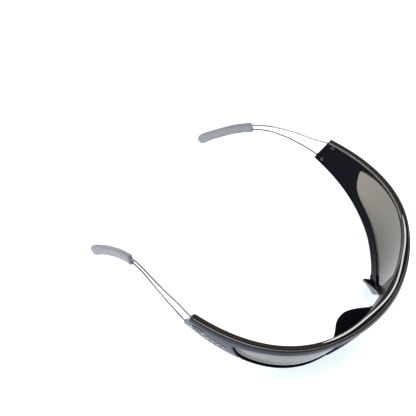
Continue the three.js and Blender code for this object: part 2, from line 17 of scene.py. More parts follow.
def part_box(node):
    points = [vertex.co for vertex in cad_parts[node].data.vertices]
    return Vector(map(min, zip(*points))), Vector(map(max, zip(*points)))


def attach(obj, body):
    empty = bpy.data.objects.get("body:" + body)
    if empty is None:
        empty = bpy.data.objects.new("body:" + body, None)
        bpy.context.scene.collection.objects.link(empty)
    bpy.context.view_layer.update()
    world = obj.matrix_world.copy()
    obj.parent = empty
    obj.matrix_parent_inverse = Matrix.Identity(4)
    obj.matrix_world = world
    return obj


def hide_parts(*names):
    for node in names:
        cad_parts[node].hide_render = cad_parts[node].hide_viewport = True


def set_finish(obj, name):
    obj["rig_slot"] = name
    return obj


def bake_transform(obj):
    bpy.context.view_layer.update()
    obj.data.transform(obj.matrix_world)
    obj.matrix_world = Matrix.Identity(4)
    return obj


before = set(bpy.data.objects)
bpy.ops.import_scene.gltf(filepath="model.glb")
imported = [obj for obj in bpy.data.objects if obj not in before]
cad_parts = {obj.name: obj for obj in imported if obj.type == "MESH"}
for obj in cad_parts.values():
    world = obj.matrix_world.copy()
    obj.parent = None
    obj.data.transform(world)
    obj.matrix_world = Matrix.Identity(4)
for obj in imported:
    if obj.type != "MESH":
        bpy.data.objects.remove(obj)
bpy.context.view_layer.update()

MM = 0.001
LEAST_HEIGHT = 0.02  # nothing reaches below this
SMOOTH_ANGLE = 40  # degrees; a sharper edge is shaded as an edge

# ---------------- the wrap, as in the CAD

TOP = 39.0
HALF_WIDTH = 70.6
WRAP_DEPTH = 71.5
FRONT_HANDLE = 45.4
SIDE_HANDLE = 46.3
LEAN_SLOPE = 0.093
LEAN_CURVE = 0.0024
END_RAKE = 0.35
RAKE_START = 60.0

BRIDGE_BOTTOM = 25.5
NOTCH_WIDTH = 11.3
NOTCH_POWER = 2.7
NOTCH_FOOT = 1.5
REST_FROM = 36.0
REST_TO = 41.0
END_BOTTOM = 23.5
RISE_POWER = 1.35
LENS_SAG = 0.8

# Layers, outward from the inner face.
LINER_OUT = 0.9
LENS_IN = 1.1
LENS_OUT = 2.05
SHELL_IN = 2.15
TEMPLE_IN = 1.0
SHELL_OUT = 4.0
SHELL_TAPER = 1.2
BRIDGE_EXTRA = 2.5
BRIDGE_SPREAD = 46.0
BEAD_OUT = 2.8
SHELL_TAPER_POWER = 1.5
BROW_BEVEL = 1.5
BROW_BEVEL_DEPTH = 4.0
BEVEL_AT_TEMPLE = 0.35  # share of the bevel away from the bridge

# Lens windows.
RIM_HEIGHT = 6.0
LEAST_OPENING = 1.5
BEAD_HEIGHT = 1.8
LENS_OVERLAP = 1.3
WINDOW_REAR = 89.5
INNER_TOP = 36.9
INNER_NOSE_DROP = 2.4
NOSE_DROP_FROM = 62.0
NOSE_DROP_TO = 24.0
INNER_REAR_DROP = 2.6
OUTER_TOP = 34.0
OUTER_REAR_DROP = 2.8
REAR_DROP_FROM = 72.0
INNER_NOSE = 12.0
OUTER_NOSE = 17.5
SHELL_FOOT = 34.0
SHELL_LEG_HEIGHT = 12.0
SHELL_LEG_POWER = 1.4
CORNER_FROM = 66.0
CORNER_RISE = 15.0
CORNER_POWER = 6.5
BEAD_CORNER_SHARE = 0.8
CRESCENT_FROM = 78.0
CRESCENT_POWER = 2.3
CRESCENT_BELOW = 2.0
CRESCENT_REAR = WINDOW_REAR + 1

# Bright line along the brow.
LINE_W = 0.95
LINE_BRIDGE_W = 1.8
LINE_BRIDGE_SPREAD = 26.0
LINE_REACH = 50.0
LINE_TAPER = 9.0
LINE_HALF_WIDTH = 0.42
LINE_LEAST = 0.02
LINE_PROUD = 0.12

# Corners of the cubic curve that the inner top edge follows.
RAIL = np.array([
    (0, 0),
    (FRONT_HANDLE, 0),
    (HALF_WIDTH, WRAP_DEPTH - SIDE_HANDLE),
    (HALF_WIDTH, WRAP_DEPTH),
])


def lengths_along(points):
    """Distance from the first point to each point of a line."""
    steps = np.linalg.norm(np.diff(points, axis=0), axis=1)
    return np.concatenate([[0], np.cumsum(steps)])


def unit(direction):
    return direction / np.linalg.norm(direction)


def around(count):
    """Angles that divide a turn evenly."""
    return np.linspace(0, 2 * math.pi, count, endpoint=False)


def rail_point(t):
    t = np.asarray(t, float)[..., None]
    weights = ((1 - t) ** 3, 3 * (1 - t) ** 2 * t, 3 * (1 - t) * t**2, t**3)
    return sum(weight * corner for weight, corner in zip(weights, RAIL))


def rail_tangent(t):
    t = np.asarray(t, float)[..., None]
    legs = RAIL[1:] - RAIL[:-1]
    slope = (1 - t) ** 2 * legs[0] + 2 * (1 - t) * t * legs[1] + t**2 * legs[2]
    return slope / np.linalg.norm(slope, axis=-1, keepdims=True)


RAIL_T = np.linspace(0, 1, 1001)
RAIL_S = lengths_along(rail_point(RAIL_T))
RAIL_END = RAIL_S[-1]

# The rear end of the shell fixes where the rail lies in the frame.
REAR_Y = WRAP_DEPTH + END_RAKE * (TOP - END_BOTTOM)
BRIDGE_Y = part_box("outer_shell")[1][1] / MM - REAR_Y


def wrap(s, w, z):
    """Frame coordinates, in millimetres, of rail coordinates; arrays broadcast."""
    s, w, z = np.broadcast_arrays(*(np.asarray(a, float) for a in (s, w, z)))
    distance, down = np.abs(s), TOP - z
    depth = np.maximum(0, down)
    rake = END_RAKE * np.clip((distance - RAKE_START) / (RAIL_END - RAKE_START), 0, 1)
    along = distance + rake * down
    t = np.interp(np.minimum(along, RAIL_END), RAIL_S, RAIL_T)
    point, tangent = rail_point(t), rail_tangent(t)
    past = np.maximum(0, along - RAIL_END)
    out = w - depth * (LEAN_SLOPE + LEAN_CURVE * depth)
    x = point[..., 0] + tangent[..., 0] * past + tangent[..., 1] * out
    y = point[..., 1] + tangent[..., 1] * past - tangent[..., 0] * out
    return np.stack([np.where(s < 0, -x, x), y + BRIDGE_Y, z], axis=-1)


def clamp01(t):
    return np.clip(t, 0, 1)


def smooth(t):
    c = clamp01(t)
    return c * c * (3 - 2 * c)


def share(s, start, end):
    """0 before one rail distance, 1 past another."""
    return clamp01((np.abs(s) - start) / (end - start))


def foot_line(s):
    """The lower edge without the notch for the nose."""
    run = np.maximum(0, np.abs(s) - REST_TO) / (RAIL_END - REST_TO)
    return np.maximum(0, END_BOTTOM * run**RISE_POWER - LENS_SAG * np.sin(2 * np.pi * run))


def lower_edge(s):
    distance = np.abs(np.asarray(s, float))
    notch = (BRIDGE_BOTTOM + NOTCH_FOOT) / (1 + (distance / NOTCH_WIDTH) ** NOTCH_POWER) - NOTCH_FOOT
    return np.where(distance < REST_FROM, np.maximum(0, notch), foot_line(s))


def corner_rise(s):
    return CORNER_RISE * share(s, CORNER_FROM, WINDOW_REAR) ** CORNER_POWER


def rear_drop(s):
    return share(s, REAR_DROP_FROM, WINDOW_REAR) ** 2


def inner_high(s):
    towards_nose = smooth(share(s, NOSE_DROP_FROM, NOSE_DROP_TO))
    return INNER_TOP - INNER_NOSE_DROP * towards_nose - INNER_REAR_DROP * rear_drop(s)


def inner_low(s):
    return np.minimum(lower_edge(s) + RIM_HEIGHT + corner_rise(s), inner_high(s) - LEAST_OPENING)


def outer_high(s):
    return OUTER_TOP - OUTER_REAR_DROP * rear_drop(s)


def bead_top(s):
    return lower_edge(s) + BEAD_HEIGHT + BEAD_CORNER_SHARE * corner_rise(s)


def leg_top(s):
    return bead_top(s) + SHELL_LEG_HEIGHT * share(s, SHELL_FOOT, OUTER_NOSE) ** SHELL_LEG_POWER


def crescent_low(s):
    crescent = share(s, CRESCENT_FROM, CRESCENT_REAR) ** CRESCENT_POWER
    return lower_edge(s) - CRESCENT_BELOW + (outer_high(s) - lower_edge(s)) * crescent


def bridge_share(s):
    return 1 - smooth(np.abs(s) / BRIDGE_SPREAD)


def shell_face(s, z):
    bevel = clamp01((z - TOP + BROW_BEVEL_DEPTH) / BROW_BEVEL_DEPTH) ** 2
    fall = BROW_BEVEL * (BEVEL_AT_TEMPLE + (1 - BEVEL_AT_TEMPLE) * bridge_share(s))
    down = clamp01((TOP - z) / (TOP - foot_line(s)))
    return SHELL_OUT + BRIDGE_EXTRA * bridge_share(s) - fall * bevel - SHELL_TAPER * down**SHELL_TAPER_POWER


def line_centre(s):
    return LINE_W + LINE_BRIDGE_W * smooth(1 - np.abs(s) / LINE_BRIDGE_SPREAD)


def line_half_width(s):
    return LINE_HALF_WIDTH * np.sqrt(clamp01((LINE_REACH - np.abs(s)) / LINE_TAPER)) + LINE_LEAST


# ---------------- pieces from meshes


def make_piece(name, verts, faces, body, node, slot, smooth_angle=SMOOTH_ANGLE):
    """A piece from millimetre points. It rides on a body, if it is given one, and stands for a CAD node."""
    mesh = bpy.data.meshes.new(name)
    mesh.from_pydata([tuple(p) for p in verts * MM], [], outward(verts, faces))
    mesh.validate()
    for polygon in mesh.polygons:
        polygon.use_smooth = True
    mesh.set_sharp_from_angle(angle=math.radians(smooth_angle))
    piece = bpy.data.objects.new(name, mesh)
    bpy.context.scene.collection.objects.link(piece)
    shading = piece.modifiers.new("weighted_normals", "WEIGHTED_NORMAL")
    shading.keep_sharp = True
    if body:
        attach(piece, body)
    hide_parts(node)
    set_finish(piece, slot)
    return piece


def ring_faces(rows, count, closed_rows=False):
    """Quads between successive closed rings of count points each."""
    faces = []
    for k in range(rows if closed_rows else rows - 1):
        below, above = k * count, ((k + 1) % rows) * count
        for i in range(count):
            j = (i + 1) % count
            faces.append((below + i, below + j, above + j, above + i))
    return faces


def loft(rings):
    """Vertices and faces of a tube through closed rings, capped with flat ends."""
    count = len(rings[0])
    last = (len(rings) - 1) * count
    faces = ring_faces(len(rings), count)
    faces.append(tuple(reversed(range(count))))
    faces.append(tuple(last + i for i in range(count)))
    return np.concatenate(rings), faces


def outward(verts, faces):
    """The same faces, turned round where the closed mesh is inside out."""
    fans = np.array([(f[0], f[i], f[i + 1]) for f in faces for i in range(1, len(f) - 1)])
    a, b, c = (verts[fans[:, k]] for k in range(3))
    volume = np.sum(a * np.cross(b, c))
    return faces if volume > 0 else [tuple(reversed(face)) for face in faces]


def on_side(verts, side):
    """Points drawn for the left side, mirrored where side is -1."""
    return verts * np.array([side, 1.0, 1.0])


# ---------------- panels in rail space

LEAST_LOOP_POINTS = 12
GRID_GAP = 0.6  # share of the spacing kept free along an outline
BLOCK = 500  # points measured against the outline at a time
CDT_TOLERANCE = 1e-7
MOVED = 1e-4
GRID_ROW_RATIO = 0.866  # row pitch over point spacing in a grid of even triangles


def resample(loop, spacing):
    """A closed loop with evenly spaced points."""
    closed = np.vstack([loop, loop[:1]])
    reach = lengths_along(closed)
    count = max(LEAST_LOOP_POINTS, int(round(reach[-1] / spacing)))
    at = np.linspace(0, reach[-1], count, endpoint=False)
    return np.stack([np.interp(at, reach, closed[:, k]) for k in (0, 1)], axis=-1)


def soften(loop, spacing, radius):
    """Rounds a closed loop's corners with a Gaussian of about that radius."""
    fine = resample(loop, spacing)
    half = int(math.ceil(3 * radius / spacing))
    offsets = np.arange(-half, half + 1)
    weights = np.exp(-0.5 * (offsets * spacing / radius) ** 2)
    weights /= weights.sum()
    return sum(weight * np.roll(fine, -k, axis=0) for k, weight in zip(offsets, weights))


def loop_normals(loop):
    """Unit normals that point out of a counter-clockwise loop."""
    run = np.roll(loop, -1, axis=0) - np.roll(loop, 1, axis=0)
    run /= np.linalg.norm(run, axis=1, keepdims=True)
    return np.stack([run[:, 1], -run[:, 0]], axis=-1)


def signed_area(loop):
    following = np.roll(loop, -1, axis=0)
    return 0.5 * np.sum(loop[:, 0] * following[:, 1] - following[:, 0] * loop[:, 1])


def inside(points, loops):
    """Even-odd test of points against closed loops."""
    odd = np.zeros(len(points), bool)
    for loop in loops:
        following = np.roll(loop, -1, axis=0)
        for a, b in zip(loop, following):
            if a[1] == b[1]:
                continue
            crosses = (a[1] > points[:, 1]) != (b[1] > points[:, 1])
            x = a[0] + (points[:, 1] - a[1]) * (b[0] - a[0]) / (b[1] - a[1])
            odd ^= crosses & (points[:, 0] < x)
    return odd


def fill(loops, spacing):
    """Triangulates the region inside the loops; the loops' points come first and in order."""
    boundary = np.concatenate(loops)
    low, high = boundary.min(axis=0), boundary.max(axis=0)
    rows = np.arange(low[1], high[1], spacing * GRID_ROW_RATIO)
    grid = np.array([
        (s, z)
        for k, z in enumerate(rows)
        for s in np.arange(low[0] + (k % 2) * spacing / 2, high[0], spacing)
    ])
    grid = grid[inside(grid, loops)]
    keep = np.ones(len(grid), bool)
    for start in range(0, len(grid), BLOCK):
        block = grid[start:start + BLOCK]
        gap = np.linalg.norm(block[:, None, :] - boundary[None, :, :], axis=-1).min(axis=1)
        keep[start:start + BLOCK] = gap > GRID_GAP * spacing
    grid = grid[keep]
    points = np.vstack([boundary, grid])
    edges, start = [], 0
    for loop in loops:
        count = len(loop)
        edges += [(start + i, start + (i + 1) % count) for i in range(count)]
        start += count
    result = delaunay_2d_cdt([Vector(p) for p in points], edges, [], 0, CDT_TOLERANCE)
    out_points = np.array([tuple(p) for p in result[0]])
    if len(out_points) != len(points) or np.abs(out_points - points).max() > MOVED:
        raise RuntimeError("the outline crosses itself")
    triangles = np.array(result[2])
    middles = points[triangles].mean(axis=1)
    return points, triangles[inside(middles, loops)]


def panel(loops, profile, face_out, face_in):
    """A closed plate in rail space.

    loops: closed loops of (s, z), the outline first, then its holes.
    profile(loop, normals): arrays inset[row, point] and w[row, point], from the outer
    face's edge, round the rim, to the inner face's edge.
    face_out, face_in: w over the two faces, as functions of (s, z).
    Returns vertices, faces and, for each face, its row: 0 outer face, -1 inner face,
    or 1 and up for the rim.
    """
    oriented = []
    for k, loop in enumerate(loops):
        counter_clockwise = signed_area(loop) > 0
        oriented.append(loop if counter_clockwise == (k == 0) else loop[::-1])
    verts, faces, rows, first, last, starts = [], [], [], [], [], []
    base = 0
    for loop in oriented:
        normals = loop_normals(loop)
        inset, w = profile(loop, normals)
        lines = [loop - normals * distance[:, None] for distance in inset]
        verts += [wrap(line[:, 0], across, line[:, 1]) for line, across in zip(lines, w)]
        first.append(lines[0])
        last.append(lines[-1])
        count = len(loop)
        for k, quad in enumerate(ring_faces(len(inset), count)):
            faces.append(tuple(base + i for i in quad))
            rows.append(1 + k // count)
        starts.append((base, base + (len(inset) - 1) * count))
        base += len(inset) * count
    for which, (edge_loops, face_w) in enumerate(((first, face_out), (last, face_in))):
        points, triangles = fill(edge_loops, FACE_SPACING)
        index = []
        for loop, ends in zip(edge_loops, starts):
            index += list(range(ends[which], ends[which] + len(loop)))
        inner_points = points[len(index):]
        index += list(range(base, base + len(inner_points)))
        if len(inner_points):
            w = face_w(inner_points[:, 0], inner_points[:, 1])
            verts.append(wrap(inner_points[:, 0], w, inner_points[:, 1]))
            base += len(inner_points)
        for triangle in triangles:
            corners = tuple(index[i] for i in triangle)
            faces.append(corners if which else corners[::-1])
            rows.append(-1 if which else 0)
    verts = np.concatenate(verts)
    return verts, outward(verts, faces), np.array(rows)


def flipped(loop, side):
    return loop * np.array([side, 1.0])


def quarter(count):
    return np.linspace(0, math.pi / 2, count)


def flat_face(w):
    return lambda s, z: np.full(len(s), w)


def level_line(z):
    return lambda s: np.full(len(s), z)


FILLET_ROWS = 5
EVEN_PANEL_ROWS = 2


def plain_profile(face_out, face_in, radius, mid_rows):
    """A rim with rounded edges, straight across from one face to the other."""
    def profile(loop, normals):
        s, z = loop[:, 0], loop[:, 1]
        out, inn = face_out(s, z), face_in(s, z)
        inset, w = [], []
        for angle in quarter(FILLET_ROWS):
            inset.append(np.full(len(s), radius * (1 - math.sin(angle))))
            w.append(out - radius * (1 - math.cos(angle)))
        for k in range(1, mid_rows + 1):
            inset.append(np.zeros(len(s)))
            w.append(out - radius + (inn - out + 2 * radius) * k / (mid_rows + 1))
        for angle in quarter(FILLET_ROWS)[::-1]:
            inset.append(np.full(len(s), radius * (1 - math.sin(angle))))
            w.append(inn + radius * (1 - math.cos(angle)))
        return np.array(inset), np.array(w)
    return profile


def even_panel(loops, w_in, w_out, radius):
    """A plate of even thickness with rounded edges."""
    face_out, face_in = flat_face(w_out), flat_face(w_in)
    profile = plain_profile(face_out, face_in, radius, EVEN_PANEL_ROWS)
    return panel(loops, profile, face_out, face_in)[:2]


# ---------------- the front

FINE = 0.5  # spacing of points along outlines
FACE_SPACING = 1.2
CORNER_RADIUS = 0.55
WINDOW_CORNER_RADIUS = 0.3
CRESCENT_TIP = 1.4  # height at which the wedge under the lens is cut off

CREST_RADIUS = 0.6
LIP_RADIUS = 0.28
SEAM_SET = 0.3  # a fine groove beside the crest
SEAM_WIDTH = 0.35
SEAM_DEPTH = 0.28
SCALLOP_WIDTH = 1.2  # hollows beside the bright line
SCALLOP_DEPTH = 0.32
FLANGE_DEPTH = 1.0
FLANGE_CORNER = 0.05
FLANGE_STEP = 0.4
SHELL_EDGE = 0.3
BROW_BAND_HEIGHT = 2.5  # the brow's rows start this far below the top
BROW_FACES_UP = 0.5
BROW_TURN = 0.45
BROW_FINISH_DEPTH = 0.9
LEAST_BAND = 0.1
CURVE_POINTS = 160
LONG_CURVE_POINTS = 400
TEMPLE_STEP_FROM = WINDOW_REAR + 1.5
TEMPLE_STEP_TO = WINDOW_REAR + 3.5


def curve_points(start, end, height, count=CURVE_POINTS):
    s = np.linspace(start, end, count)
    return np.stack([s, height(s)], axis=-1)


def both_halves(half):
    """A closed outline from its left half, which runs from the middle bottom to the middle top."""
    return np.vstack([half, (half * np.array([-1.0, 1.0]))[::-1]])


def shell_outline():
    """Lower edge, leg beside the nose, window edge, crescent behind the lens, temple end, brow."""
    meets = np.linspace(CRESCENT_FROM, CRESCENT_REAR, LONG_CURVE_POINTS)
    meet = meets[np.argmax(crescent_low(meets) > lower_edge(meets) + CRESCENT_TIP)]
    half = np.vstack([
        curve_points(0, SHELL_FOOT, lower_edge),
        curve_points(SHELL_FOOT, OUTER_NOSE, leg_top),
        curve_points(OUTER_NOSE, CRESCENT_REAR, outer_high),
        curve_points(CRESCENT_REAR, meet, crescent_low),
        curve_points(meet, RAIL_END, lower_edge),
        curve_points(RAIL_END, 0, level_line(TOP)),
    ])
    return soften(both_halves(half), FINE, CORNER_RADIUS)


def shell_inner(s, z):
    return SHELL_IN + (TEMPLE_IN - SHELL_IN) * smooth(share(s, TEMPLE_STEP_FROM, TEMPLE_STEP_TO))


# Bands across the brow, from the crest inward: the number of rows, the depth, whether the
# band belongs to the bright line, and its finish. The "groove" finish is near-black painted shade in the
# seam and in the hollow outside the line; the "edge" finish is a painted highlight along the crest edge.
BROW_BANDS = [
    (1, 0.0, False, "edge"),
    (4, SEAM_DEPTH, False, "groove"),
    (3, 0.0, False, "lacquer"),
    (6, SCALLOP_DEPTH, True, "groove"),
    (3, 0.0, False, "lacquer"),
    (5, SCALLOP_DEPTH, True, "lacquer"),
]


def brow_rows(s):
    """(w, drop) rows across the top of the brow, from the crest to the inner lip."""
    crest = shell_face(s, TOP) - CREST_RADIUS
    centre, half = line_centre(s), line_half_width(s)
    there = smooth((LINE_REACH + 1 - np.abs(s)) / LINE_TAPER)
    seam = crest - SEAM_SET - SEAM_WIDTH
    hollow = np.minimum(centre + half + SCALLOP_WIDTH, seam - LEAST_BAND)
    line_outer = np.minimum(centre + half, hollow - LEAST_BAND)
    lip = np.full(len(s), LIP_RADIUS)
    stations = [crest, crest - SEAM_SET, seam, hollow, line_outer, centre - half, lip]
    rows = []
    for (steps, depth, of_line, _), outer, inner in zip(BROW_BANDS, stations, stations[1:]):
        width = outer - inner
        share_here = there * clamp01(width / SCALLOP_WIDTH) if of_line else np.ones(len(s))
        for i in range(steps):
            t = i / steps
            rows.append((outer - width * t, depth * share_here * math.sin(math.pi * t) ** 2))
    rows.append((stations[-1], np.zeros(len(s))))
    return rows


def shell_profile(loop, normals):
    """Rounded rim; along the top it is the brow with its crest, seam, hollows and flange."""
    s, z = loop[:, 0], loop[:, 1]
    rows = []
    for angle in quarter(FILLET_ROWS)[:-1]:
        drop = np.full(len(s), CREST_RADIUS * (1 - math.sin(angle)))
        rows.append((shell_face(s, TOP - drop) - CREST_RADIUS * (1 - math.cos(angle)), drop))
    rows += brow_rows(s)
    for angle in quarter(FILLET_ROWS)[1:]:
        rows.append((LIP_RADIUS * (1 - math.sin(angle)), LIP_RADIUS * (1 - math.cos(angle))))
    rows += [
        (0.0, FLANGE_DEPTH),
        (TEMPLE_IN, FLANGE_DEPTH + FLANGE_CORNER),
        (shell_inner(s, z), FLANGE_DEPTH + FLANGE_STEP),
    ]
    top_w = np.array([np.broadcast_to(w, len(s)) for w, drop in rows])
    top_inset = np.array([np.broadcast_to(drop, len(s)) for w, drop in rows])
    plain = plain_profile(shell_face, shell_inner, SHELL_EDGE, len(rows) - 2 * FILLET_ROWS)
    inset, w = plain(loop, normals)
    is_top = (z > TOP - BROW_BAND_HEIGHT) * smooth((normals[:, 1] - BROW_FACES_UP) / BROW_TURN)
    return inset + (top_inset - inset) * is_top, w + (top_w - w) * is_top


# Shell finishes by index; "groove" is painted shade, "edge" a painted highlight, "face" a painted
# reflection and "rim" painted light, as SHELL_FINISHES says.
FINISHES = ["lacquer", "groove", "edge", "inside", "face", "rim"]
LINE_ENDS = LINE_REACH - 2  # where the line's finishes give way to the lacquer


def brow_finish(row, reach):
    """The finish of a rim row along the top, at a distance from the bridge."""
    place = row - FILLET_ROWS
    for steps, _, of_line, finish in BROW_BANDS:
        if place < steps:
            shown = reach < LINE_ENDS or not of_line
            return finish if place >= 0 and shown else "lacquer"
        place -= steps
    # Lip rows take the "edge" finish, a painted highlight along the inner top edge.
    lip_rows = FILLET_ROWS if reach > LINE_ENDS else 1
    return "edge" if place < lip_rows else "lacquer"


def make_shell():
    verts, faces, rows = panel([shell_outline()], shell_profile, shell_face, shell_inner)
    finishes = []
    for face, row in zip(faces, rows):
        middle = verts[list(face)].mean(axis=0)
        # Inside: the shell's own colour. Outer face: blue-grey painted reflection. Brow rows: as
        # brow_finish gives. Other rim rows: a lighter blue-grey, painted light on walls in shade.
        if row < 0:
            finish = "inside"
        elif row == 0:
            finish = "face"
        elif middle[2] > TOP - BROW_FINISH_DEPTH:
            finish = brow_finish(row, rail_reach(middle[0], middle[1]))
        else:
            finish = "rim"
        finishes.append(FINISHES.index(finish))
    piece = make_piece("shell", verts, faces, "front", "outer_shell", "shell")
    piece.data.polygons.foreach_set("material_index", finishes)
    return piece


def rail_reach(x, y):
    """How far round the wrap a point of the frame is, in millimetres from the bridge."""
    rail = rail_point(RAIL_T)
    nearest = np.argmin((rail[:, 0] - abs(x)) ** 2 + (rail[:, 1] - y + BRIDGE_Y) ** 2)
    return float(RAIL_S[nearest])


LINER_CLEARANCE = 0.12
LINER_TOP = TOP - FLANGE_DEPTH - LINER_CLEARANCE
LINER_EDGE = 0.22
BEAD_EDGE = 0.3
BEAD_ROUND_SHARE = 0.45
BEAD_SET = 0.15
BEAD_LEAST = 0.4
BEAD_ROOT = 0.5
BEAD_STATIONS = 150


def window_outline():
    """The lens window in the liner, on the left."""
    loop = np.vstack([
        curve_points(INNER_NOSE, WINDOW_REAR, inner_low),
        curve_points(WINDOW_REAR, INNER_NOSE, inner_high),
    ])
    return soften(loop, FINE, WINDOW_CORNER_RADIUS)


def bead_low(s):
    return np.maximum(lower_edge(s), np.minimum(crescent_low(s) + BEAD_SET, bead_top(s) - BEAD_LEAST))


def rounded_section(w0, w1, z0, z1, radius, corner_steps=4):
    """A rounded rectangle of (w, z) points, counter-clockwise."""
    points = []
    corners = [
        (w1 - radius, z0 + radius, -90),
        (w1 - radius, z1 - radius, 0),
        (w0 + radius, z1 - radius, 90),
        (w0 + radius, z0 + radius, 180),
    ]
    for w, z, start in corners:
        for i in range(corner_steps + 1):
            angle = math.radians(start + 90 * i / corner_steps)
            points.append((w + radius * math.cos(angle), z + radius * math.sin(angle)))
    return np.array(points)


def bead_rings(side):
    """The lower rim under the lens, seen from outside."""
    rings = []
    for s in np.linspace(SHELL_FOOT + BEAD_SET, WINDOW_REAR - 1, BEAD_STATIONS):
        low, high = float(bead_low(s)), float(bead_top(s))
        radius = min(BEAD_EDGE, BEAD_ROUND_SHARE * (high - low))
        section = rounded_section(LINER_OUT - BEAD_ROOT, BEAD_OUT, low, high, radius)
        rings.append(wrap(side * s, section[:, 0], section[:, 1]))
    return rings


def make_liner():
    window = window_outline()
    outline = both_halves(np.vstack([
        curve_points(0, RAIL_END, lower_edge, LONG_CURVE_POINTS),
        curve_points(RAIL_END, 0, level_line(LINER_TOP), LONG_CURVE_POINTS),
    ]))
    loops = [soften(outline, FINE, CORNER_RADIUS), window, flipped(window, -1)]
    verts, faces = even_panel(loops, 0.0, LINER_OUT, LINER_EDGE)
    for side in (1, -1):
        more, more_faces = loft(bead_rings(side))
        faces += [tuple(i + len(verts) for i in face) for face in outward(more, more_faces)]
        verts = np.concatenate([verts, more])
    return make_piece("liner", verts, faces, "front", "inner_liner", "liner")


LENS_EDGE = 0.2
LENS_LIFT = 0.1  # gap between the lens and the bead that it stands on


def lens_low(s):
    return bead_top(s) + LENS_LIFT


def lens_high(s):
    return inner_high(s) + LENS_OVERLAP


def make_lens(name, side):
    nose, rear = INNER_NOSE - LENS_OVERLAP, WINDOW_REAR + LENS_OVERLAP
    loop = np.vstack([curve_points(nose, rear, lens_low), curve_points(rear, nose, lens_high)])
    loops = [flipped(soften(loop, FINE, CORNER_RADIUS), side)]
    verts, faces = even_panel(loops, LENS_IN, LENS_OUT, LENS_EDGE)
    piece = make_piece(f"{name}_lens_shaped", verts, faces, "front", f"{name}_lens", "lens")
    reach = piece.data.attributes.new("reach", "FLOAT", "POINT")
    reach.data.foreach_set("value", [rail_reach(x, y) / RAIL_END for x, y, _ in verts])
    return piece


LINE_SHORT = 0.3  # the line stops this far before its groove
LINE_SUNK = 0.3
LINE_CROWN = 0.1
LINE_STATIONS = 300
LINE_SIDES = 20


def make_brow_line():
    """The bright line let into the brow, a half round that tapers to a point at each end."""
    reach = LINE_REACH - LINE_SHORT
    rings = []
    angles = around(LINE_SIDES)
    for s in reach * np.sin(np.linspace(-math.pi / 2, math.pi / 2, LINE_STATIONS)):
        half = float(line_half_width(s))
        w = float(line_centre(s)) + half * np.cos(angles)
        lift = np.where(np.sin(angles) > 0, LINE_PROUD + LINE_CROWN * half, LINE_SUNK)
        rings.append(wrap(s, w, TOP + lift * np.sin(angles)))
    verts, faces = loft(rings)
    return make_piece("brow_line", verts, faces, "front", "brow_strip", "bright_trim")


# ---------------- nose wings

WING_FROM = 5.2
WING_PEAK = 11.3
WING_TO = 31.0
WING_REACH = 9.4
WING_ROOT_REACH = 0.8
WING_ROOT_DEPTH = 0.7
WING_THICKNESS = 1.5
WING_EDGE = 0.8
WING_TIP_RADIUS = 0.8
WING_FLARE = 0.8
WING_HEAD_DIRECTION = np.array([0.19, 0.92, 0.25])
WING_FOOT_DIRECTION = np.array([0.30, 0.65, 0.70])
WING_TURNS_FROM = 11.0
WING_TURNS_TO = 23.0
WING_RUNS_ON = 0.6
WING_SMOOTH = 60
WING_STATIONS = 90
WING_TIP_SHARE = 0.6
WING_FLARE_FADES = 0.9
WING_FLAT_POINTS = 24
WING_ROUND_POINTS = 9
NOTCH_STEP = 0.2


def wing_reach(s):
    to_peak = clamp01((s - WING_FROM) / (WING_PEAK - WING_FROM))
    past_peak = clamp01((s - WING_PEAK) / (WING_TO - WING_PEAK))
    rising, falling = math.sin(math.pi / 2 * to_peak), math.cos(math.pi / 2 * past_peak) ** 2
    bump = rising if s < WING_PEAK else falling
    return WING_ROOT_REACH + (WING_REACH - WING_ROOT_REACH) * bump


def wing_direction(s):
    turn = smooth((s - WING_TURNS_FROM) / (WING_TURNS_TO - WING_TURNS_FROM))
    return unit(WING_HEAD_DIRECTION + (WING_FOOT_DIRECTION - WING_HEAD_DIRECTION) * turn)


def notch_edge(s):
    return wrap(s, 0, lower_edge(s))


def wing_rings():
    rings = []
    for s in np.linspace(WING_FROM - WING_RUNS_ON, WING_TO + WING_RUNS_ON, WING_STATIONS):
        run = unit(notch_edge(s + NOTCH_STEP) - notch_edge(s - NOTCH_STEP))
        direction = wing_direction(s)
        away = unit(np.cross(run, direction))
        reach = float(wing_reach(s))
        tip = min(WING_TIP_RADIUS, WING_TIP_SHARE * reach)
        flat = np.linspace(-WING_ROOT_DEPTH, reach - tip, WING_FLAT_POINTS)
        round_off = reach - tip + tip * np.sin(quarter(WING_ROUND_POINTS)[1:])
        along = np.concatenate([flat, round_off])
        part = clamp01((along + WING_ROOT_DEPTH) / (reach + WING_ROOT_DEPTH))
        thick = WING_THICKNESS + (WING_EDGE - WING_THICKNESS) * part
        half = 0.5 * thick * np.sqrt(clamp01(1 - clamp01((along - reach + tip) / tip) ** 2))
        flare = 0.5 * WING_FLARE * np.exp(-np.maximum(0, along) / WING_FLARE_FADES)
        half = half + flare * (along < reach - tip)
        middle = notch_edge(s) + direction * along[:, None] + away * (0.5 * thick)[:, None]
        one, other = middle - away * half[:, None], middle + away * half[:, None]
        rings.append(np.vstack([one, other[-2::-1]]))
    return rings


def make_wing(name, side):
    verts, faces = loft(wing_rings())
    verts[:, 2] = np.maximum(verts[:, 2], LEAST_HEIGHT)
    verts = on_side(verts, side)
    return make_piece(f"{name}_wing", verts, faces, "front", f"{name}_nose_wing", "wing", WING_SMOOTH)


# ---------------- wires and sleeves

WIRE_RADIUS = 0.5
WIRE_W = 1.5
UPPER_WIRE_Z = 36.4
LOWER_WIRE_Z = 25.3
LEG_GAP = 1.8
LEGS_MEET = 0.42
LEGS_START = 0.09
LEGS_CLOSE_POWER = 1.25
LEG_POINTS = 13
BEND_AT = 0.955
BEND_ANGLES = (45, 90, 135)
WIRE_INTO_SHELL = np.array([0, -2.0, 0])
WIRE_LEAD = np.array([0, 0.8, 0])
WIRE_STATIONS = 520
WIRE_SIDES = 14
SWEEP_STEP = 0.002  # share of the wire over which its direction is read
SLEEVE_FROM = 0.5
SLEEVE_WALL = 1.0
SLEEVE_ROUND = 0.06
WIRE_BENDS_OVER = 40.0  # a length from the socket mouth along the arm; the point it gives is not used
